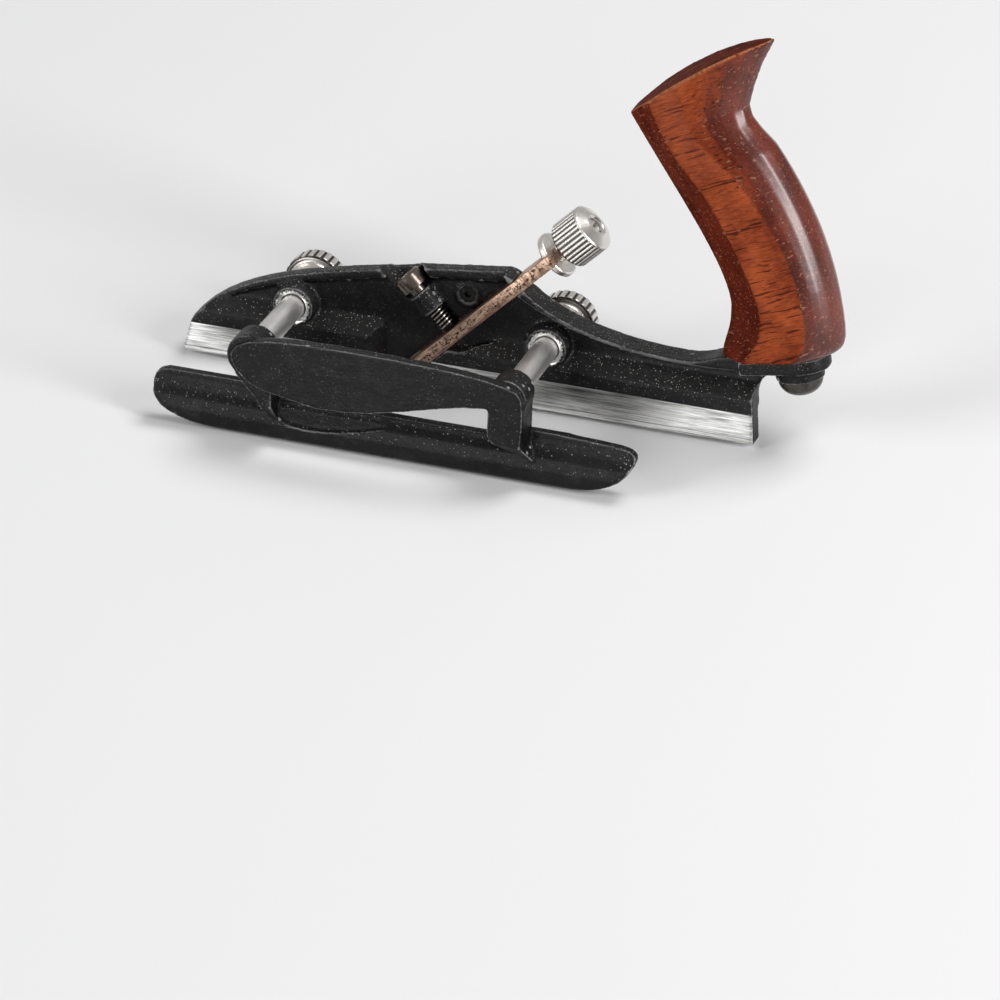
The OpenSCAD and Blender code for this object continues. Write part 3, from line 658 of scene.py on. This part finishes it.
# %% softened castings and handle
def soft_skin(node, name, grid, relax, material, body):
    """A copy of a solid, rebuilt from a grid and relaxed, in the solid's place."""
    obj = merged_copy(node, name)
    apply_modifier(obj, "REMESH", mode="VOXEL", voxel_size=grid)
    apply_modifier(obj, "SMOOTH", factor=0.5, iterations=relax)
    only(obj)
    bpy.ops.object.shade_smooth()
    add_piece(obj, node, body, material)


soft_skin("body_casting", "body_skin", grid=0.0002, relax=8, material=BODY_PAINT,
          body="body")
soft_skin("fence_casting", "fence_skin", grid=0.00017, relax=7, material=FENCE_PAINT,
          body="fence")
soft_skin("handle", "handle_skin", grid=0.00022, relax=9, material=HANDLE_WOOD,
          body="body")

# %% [markdown]
# ## Ground and turned pieces
# A grinder leaves an edge sharp, and the maker breaks it with a stone, so each edge of the cutter shows a
# thin line of light. A small Bevel on a copy of the solid gives it. Flat areas are made single faces
# first, because a bevel follows the edges between them. The knob and the nuts have too many small faces
# for a bevel, so they are rebuilt from a fine grid as the castings are.

# %% cutter with broken edges
cutter = merged_copy("cutter", "cutter_ground")
dissolve_flats(cutter)
apply_modifier(cutter, "BEVEL", width=0.00005, segments=2, limit_method="ANGLE",
               angle_limit=math.radians(35))
only(cutter)
bpy.ops.object.shade_smooth_by_angle(angle=math.radians(30))
add_piece(cutter, "cutter", "cutter", BLADE_STEEL)

# %% knob and nuts
soft_skin("adjuster_knob", "knob_turned", grid=0.00007, relax=2, material=KNOB_NICKEL,
          body="knob")
for nut, finish in zip(("front_nut", "rear_nut"), NUT_NICKEL):
    soft_skin(nut, nut + "_turned", grid=0.00008, relax=2, material=finish, body=nut)

# %% [markdown]
# ## The clamp screw
# The clamp screw has a dark head, and its thread has bright crests with painted shade in the grooves.
# Between its lug and the cutter the bare thread shows. The solid has a plain shank there, so its lower
# end is cut away. One turn of the thread's outline is drawn, and the Screw modifier winds it up the axis.
# A core with a rounded tip fills the middle and presses on the cutter.

# %% steel of the clamp screw
THREAD_TOP = 4.85
HEAD_DARK, HEAD_PALE = (0.10, 0.082, 0.07, 1), (0.22, 0.185, 0.16, 1)
GROOVE_SHADE, CREST_STEEL = (0.02, 0.018, 0.016, 1), (0.55, 0.52, 0.48, 1)


def screw_steel(name):
    """Dark oxide on the head, and below it a thread with bright crests and painted shade in its grooves."""
    mat, tree, shader = start_material(name)
    own, far, height = round_axis(tree, CLAMP_AXIS)
    lines = use(tree, LINES, {"Place": own, "Fine": 1.5})
    head = blend(tree, lines["Lines"], HEAD_DARK, HEAD_PALE)
    # The thread's grooves are painted dark as shade, its crests bright.
    crest = calc(tree, "SUBTRACT", 1.0, step_down(tree, far, 1.0, 0.06))
    turns = blend(tree, crest, GROOVE_SHADE, CREST_STEEL)
    colour = blend(tree, calc(tree, "LESS_THAN", height, THREAD_TOP), head, turns)
    finish_metal(tree, shader, colour, plus(tree, 0.2, lines["Blotch"], 0.14), lines["Lines"], 0.06)
    return mat


SCREW_STEEL = screw_steel("clamp_screw_steel")
print("screw steel ready")

# %% head and upper shank
LUG = 0.0049
screw = merged_copy("clamp_screw", "clamp_screw_threaded")
open_mesh(screw)
bpy.ops.mesh.bisect(plane_co=CLAMP_AXIS @ Vector((0, 0, LUG)),
                    plane_no=CLAMP_AXIS.to_3x3() @ Vector((0, 0, 1)), use_fill=True, clear_inner=True)
close_mesh()
dissolve_flats(screw)
apply_modifier(screw, "BEVEL", width=0.0001, segments=3, limit_method="ANGLE", angle_limit=math.radians(50))
print("upper part:", len(screw.data.polygons), "faces")

# %% outline of one turn
PITCH = 0.0005
CREST_R, ROOT_R = 0.00108, 0.00082
OUTLINE = [(ROOT_R, 0.0), (CREST_R, 0.4 * PITCH), (CREST_R, 0.6 * PITCH), (ROOT_R, PITCH)]
CORNERS = (0, 1, 3, 2)
bpy.ops.object.select_all(action="DESELECT")
bpy.ops.mesh.primitive_plane_add(size=0.001)
thread = bpy.context.object
open_mesh(thread)
bpy.ops.mesh.delete(type="ONLY_FACE")
close_mesh()
for corner, (radius, height) in zip(CORNERS, OUTLINE):
    thread.data.vertices[corner].co = (radius, 0.0, height)
for vertex in thread.data.vertices:
    vertex.select = False
for edge in thread.data.edges:
    edge.select = set(edge.vertices) == {CORNERS[0], CORNERS[-1]}
bpy.ops.object.mode_set(mode="EDIT")
bpy.ops.mesh.select_mode(type="EDGE")
bpy.ops.mesh.delete(type="EDGE")
bpy.ops.mesh.select_mode(type="VERT")
close_mesh()
print("edges of the open outline:", len(thread.data.edges))

# %% thread
THREAD_FROM = 0.0018
TURNS = 7
apply_modifier(thread, "SCREW", axis="Z", angle=math.tau, screw_offset=PITCH, iterations=TURNS, steps=32,
               render_steps=32, use_merge_vertices=False)
open_mesh(thread)
bpy.ops.mesh.remove_doubles(threshold=MERGE)
bpy.ops.mesh.normals_make_consistent(inside=False)
close_mesh()
thread.data.transform(CLAMP_AXIS @ Matrix.Translation((0, 0, THREAD_FROM)))
print("thread:", len(thread.data.polygons), "faces")

# %% core with a rounded tip
TIP = 0.00162
CORE_TOP = LUG + 0.0006
bpy.ops.object.select_all(action="DESELECT")
bpy.ops.mesh.primitive_cylinder_add(vertices=32, radius=ROOT_R + 0.00003, depth=CORE_TOP - TIP,
                                    location=(0, 0, (CORE_TOP + TIP) / 2))
core = bpy.context.object
bpy.ops.object.transform_apply(location=True, rotation=True, scale=True)
apply_modifier(core, "BEVEL", width=0.00025, segments=4, limit_method="ANGLE", angle_limit=math.radians(50))
core.data.transform(CLAMP_AXIS)
print("core:", len(core.data.polygons), "faces")

# %% the whole clamp screw
bpy.ops.object.select_all(action="DESELECT")
for obj in (screw, thread, core):
    obj.select_set(True)
bpy.context.view_layer.objects.active = screw
bpy.ops.object.join()
bpy.ops.object.shade_smooth_by_angle(angle=math.radians(35))
add_piece(screw, "clamp_screw", "clamp", SCREW_STEEL)

# %% [markdown]
# ## Finishes of the solids
# The other solids have their true shape already, so they stay and only get their metal. The solids that a
# copy stands for are finished too, in case they are shown alone.

# %% finishes
FINISHES = [
    (ROD_STEEL, ("front_rod", "rear_rod", "front_collet", "rear_collet", "adjuster_screw", "handle_dowel")),
    (DARK_STEEL, ("front_rod_screw", "rear_rod_screw", "handle_bolt")),
    (STOP_STEEL, ("depth_stop", "stop_washer")),
    (LOCK_STEEL, ("stop_screw",)),
    (BRASS, ("handle_insert",)),
    (BODY_PAINT, ("body_casting",)),
    (FENCE_PAINT, ("fence_casting",)),
    (HANDLE_WOOD, ("handle",)),
    (BLADE_STEEL, ("cutter",)),
    (SCREW_STEEL, ("clamp_screw",)),
    (KNOB_NICKEL, ("adjuster_knob",)),
    (NUT_NICKEL[0], ("front_nut",)),
    (NUT_NICKEL[1], ("rear_nut",)),
]
for finish, nodes in FINISHES:
    for node in nodes:
        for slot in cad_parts[node].material_slots:
            slot.material = finish
print(sum(len(nodes) for finish, nodes in FINISHES), "solids finished")

# %% [markdown]
# ## Floor and light
# A pale floor and large soft lamps, as in a small studio. One lamp is above and behind, so that rounded
# edges catch a line of light, and one at the left fills the shadows. One is at the right for the long
# streak on the handle's back, and a low one in front brings out the grain of the paint and the lines of
# the bare steel. The world is white where the camera sees it, dimmer in reflections, and dimmest as light
# on the object.

# %% floor
bpy.ops.object.select_all(action="DESELECT")
bpy.ops.mesh.primitive_plane_add(size=3.0, location=(0, 0, 0))
floor = bpy.context.object
floor.name = "floor"
floor_paint, tree, shader = start_material("pale_floor")
tint = noise(tree, plane_mm(tree), 0.01, 2.0)
feed(tree, shader, {"Base Color": blend(tree, tint, (0.86, 0.86, 0.87, 1), (0.89, 0.89, 0.89, 1)),
                    "Roughness": 0.7})
floor.data.materials.append(floor_paint)
print("floor ready")

# %% lamps
def lamp(name, where, watts, width, tall=None):
    """A soft box that faces the plane and that the camera doesn't see."""
    data = bpy.data.lights.new(name, "AREA")
    data.energy = watts
    data.size = width
    if tall:
        data.shape = "RECTANGLE"
        data.size_y = tall
    obj = bpy.data.objects.new(name, data)
    obj.location = where
    obj.rotation_euler = obj.location.to_track_quat("Z", "Y").to_euler()
    obj.visible_camera = False
    bpy.context.scene.collection.objects.link(obj)


lamp("top_box", where=(0.30, 0.30, 0.8), watts=4.2, width=0.4)
lamp("left_box", where=(-0.6, -0.4, 0.5), watts=2.2, width=0.35)
lamp("right_box", where=(0.75, -0.16, 0.32), watts=4.6, width=0.13, tall=0.62)
lamp("front_box", where=(-0.22, -0.80, 0.15), watts=1.9, width=0.3)
print("lamps ready")

# %% world
WORLD_LIGHT = 0.12
IN_GLOSS = 0.38
world = bpy.data.worlds.new("studio")
world.use_nodes = True
bpy.context.scene.world = world
sky = world.node_tree
sky.nodes.clear()
ray = put(sky, "ShaderNodeLightPath").outputs
seen = calc(sky, "MAXIMUM", ray["Is Camera Ray"], times(sky, ray["Is Glossy Ray"], IN_GLOSS))
white = put(sky, "ShaderNodeBackground", {"Color": (1, 1, 1, 1),
                                          "Strength": spread(sky, seen, 0.0, 1.0, WORLD_LIGHT, 1.0)})
put(sky, "ShaderNodeOutputWorld", {"Surface": white.outputs[0]})
print("world ready")
